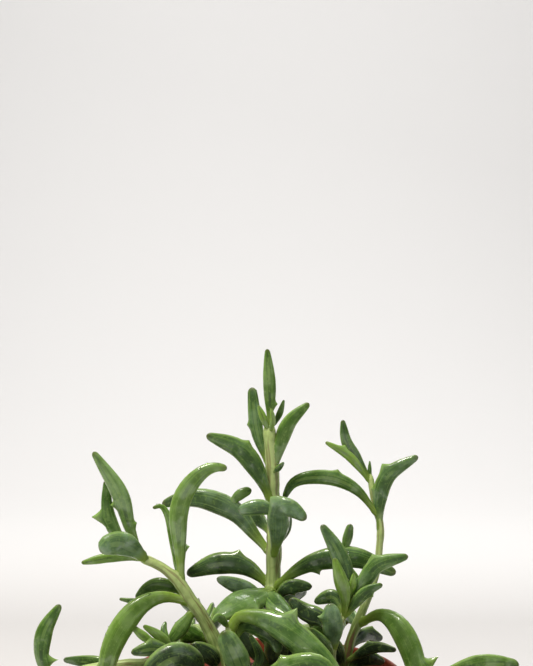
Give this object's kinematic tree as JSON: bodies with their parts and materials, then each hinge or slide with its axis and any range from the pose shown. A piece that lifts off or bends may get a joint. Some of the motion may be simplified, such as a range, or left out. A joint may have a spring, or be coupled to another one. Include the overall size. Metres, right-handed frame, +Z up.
{
  "type": "potted string of dolphins plant",
  "caption": "Trailing succulent with fleshy, finned leaves on upright and trailing stems, growing in a plain round tapered pot.",
  "frame": {"origin": "middle of the flat underside of the pot, on the surface that it stands on", "axes": "+Z up, square to the pot's underside; +X to the right and -Y towards the viewer of the picture"},
  "size_m": [0.1753, 0.1323, 0.206],
  "materials": {
    "pot": "moulded terracotta-coloured plastic, satin",
    "soil": "dark crumbly potting mix of peat and bark",
    "leaf": "fleshy green leaf, semi-gloss, with a faint bloom"
  },
  "bodies": {
    "root": {"pot": "pot", "soil": "soil", "centre_shoot": "leaf", "left_shoot": "leaf", "right_shoot": "leaf", "young_shoot": "leaf", "front_shoot": "leaf", "front_left_shoot": "leaf", "left_trailer": "leaf", "right_trailer": "leaf", "back_left_trailer": "leaf", "back_right_trailer": "leaf"}
  },
  "joints": []
}
